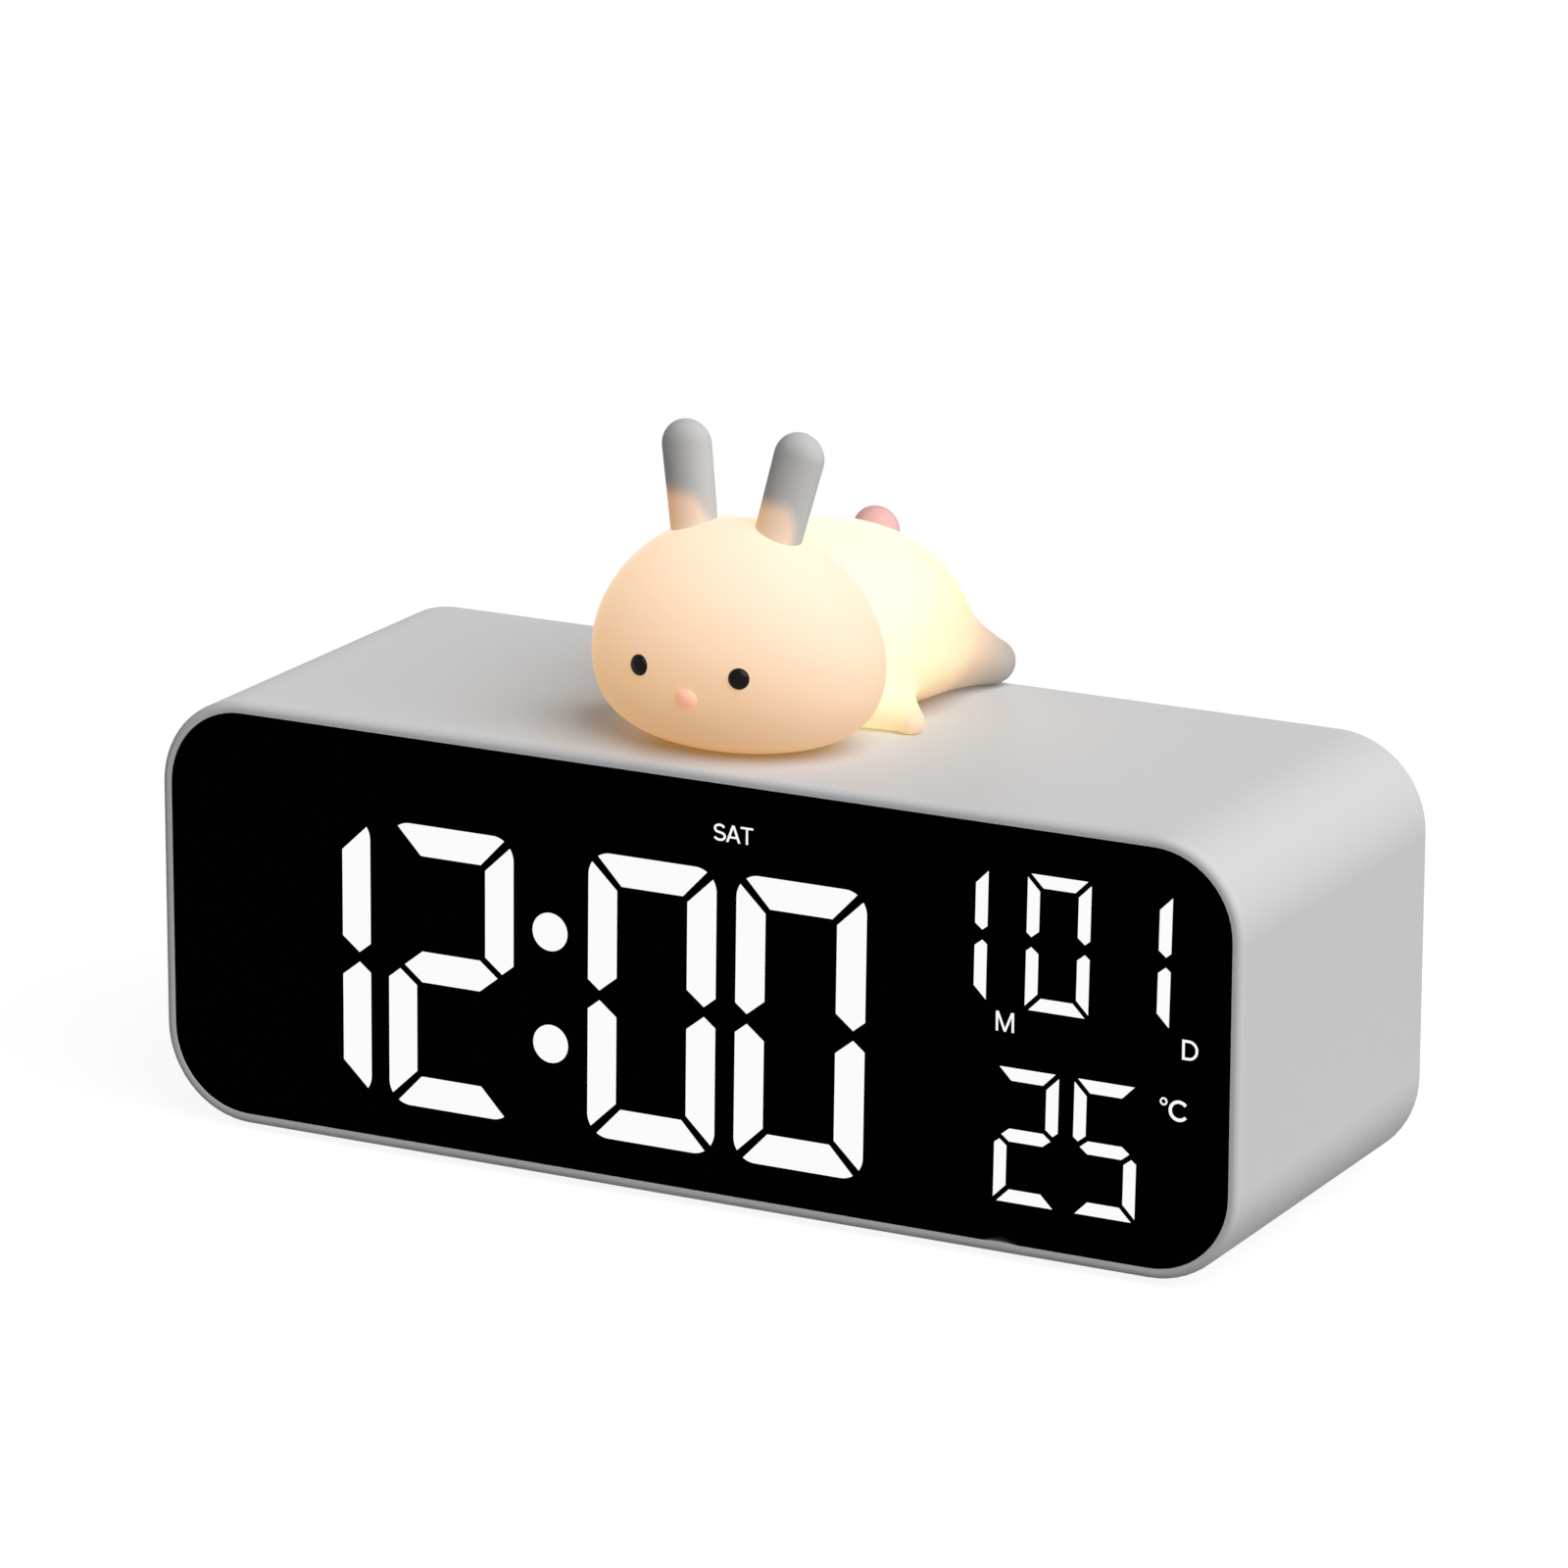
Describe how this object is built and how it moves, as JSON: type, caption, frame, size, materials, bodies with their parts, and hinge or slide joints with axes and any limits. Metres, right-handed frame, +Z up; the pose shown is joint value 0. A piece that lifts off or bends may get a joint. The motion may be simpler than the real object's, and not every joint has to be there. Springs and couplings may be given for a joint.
{
  "type": "alarm clock speaker",
  "caption": "Box-shaped bedside alarm clock with a dark seven-segment display, a rear loudspeaker, push buttons and a glowing silicone rabbit night lamp on top.",
  "frame": {"origin": "on the table, under the middle of the object's box", "axes": "+Z up, the display faces -Y, +X to the viewer's right"},
  "size_m": [0.18, 0.0664, 0.1151],
  "materials": {
    "case_plastic": "fine moulded matt",
    "dark_lens": "polished",
    "white_silicone": "soft satin",
    "pink_silicone": "soft satin",
    "black_bead": "polished",
    "foot_rubber": "matt",
    "button_plastic": "satin",
    "plunger_plastic": "matt",
    "screw_steel": "zinc plated",
    "board_green": "solder mask",
    "lamp_board_white": "solder mask",
    "led_resin": "clear resin",
    "reflector_white": "matt",
    "diffuser_film": "frosted",
    "cell_wrap": "shrink wrap",
    "magnet_ferrite": "bare",
    "cone_paper": "pressed",
    "coil_copper": "enamelled",
    "wire_cover": "insulated",
    "ribbon_grey": "insulated"
  },
  "bodies": {
    "clock": {"battery_cell": "cell_wrap", "battery_lead": "wire_cover", "board_screws": "screw_steel", "controller_chips": "plunger_plastic", "cover_screws": "screw_steel", "diffuser_sheet": "diffuser_film", "digit_reflector": "reflector_white", "display_board": "board_green", "display_lens": "dark_lens", "display_ribbon": "ribbon_grey", "display_screws": "screw_steel", "front_left_foot": "foot_rubber", "front_right_foot": "foot_rubber", "lamp_base": "reflector_white", "lamp_board": "lamp_board_white", "lamp_lead": "wire_cover", "lamp_leds": "led_resin", "lamp_screws": "screw_steel", "left_ear": "white_silicone", "left_eye": "black_bead", "main_board": "board_green", "main_housing": "case_plastic", "nose": "pink_silicone", "rabbit_body": "white_silicone", "rabbit_head": "white_silicone", "rear_cover": "case_plastic", "rear_left_foot": "foot_rubber", "rear_right_foot": "foot_rubber", "right_ear": "white_silicone", "right_eye": "black_bead", "segment_leds": "led_resin", "socket_shell": "screw_steel", "socket_tongue": "plunger_plastic", "speaker_basket": "screw_steel", "speaker_gasket": "foot_rubber", "speaker_lead": "wire_cover", "speaker_magnet": "magnet_ferrite", "speaker_screws": "screw_steel", "speaker_spider": "cone_paper", "speaker_surround": "foot_rubber", "speaker_top_plate": "screw_steel", "speaker_yoke": "screw_steel", "switch_bodies": "plunger_plastic", "tail": "pink_silicone"},
    "mode_key": {"mode_button": "button_plastic", "mode_plunger": "plunger_plastic"},
    "minus_key": {"minus_button": "button_plastic", "minus_plunger": "plunger_plastic"},
    "play_key": {"play_button": "button_plastic", "play_plunger": "plunger_plastic"},
    "plus_key": {"plus_button": "button_plastic", "plus_plunger": "plunger_plastic"},
    "alarm_key": {"alarm_button": "button_plastic", "alarm_plunger": "plunger_plastic"},
    "cone_unit": {"speaker_cone": "cone_paper", "dust_cap": "cone_paper", "voice_coil": "coil_copper"}
  },
  "joints": [
    {"name": "mode_press", "type": "slide", "parent": "clock", "child": "mode_key", "axis": [0, -1, 0], "range_m": [0, 0.0006], "stiffness_N_per_m": 2500, "springref_m": -0.0001},
    {"name": "minus_press", "type": "slide", "parent": "clock", "child": "minus_key", "axis": [0, -1, 0], "range_m": [0, 0.0006], "stiffness_N_per_m": 2500, "springref_m": -0.0001},
    {"name": "play_press", "type": "slide", "parent": "clock", "child": "play_key", "axis": [0, -1, 0], "range_m": [0, 0.0006], "stiffness_N_per_m": 2500, "springref_m": -0.0001},
    {"name": "plus_press", "type": "slide", "parent": "clock", "child": "plus_key", "axis": [0, -1, 0], "range_m": [0, 0.0006], "stiffness_N_per_m": 2500, "springref_m": -0.0001},
    {"name": "alarm_press", "type": "slide", "parent": "clock", "child": "alarm_key", "axis": [0, -1, 0], "range_m": [0, 0.0006], "stiffness_N_per_m": 2500, "springref_m": -0.0001},
    {"name": "cone_stroke", "type": "slide", "parent": "clock", "child": "cone_unit", "axis": [0, 1, 0], "range_m": [-0.0008, 0.0008], "stiffness_N_per_m": 1500, "deforming": ["speaker_surround", "speaker_spider"]}
  ]
}
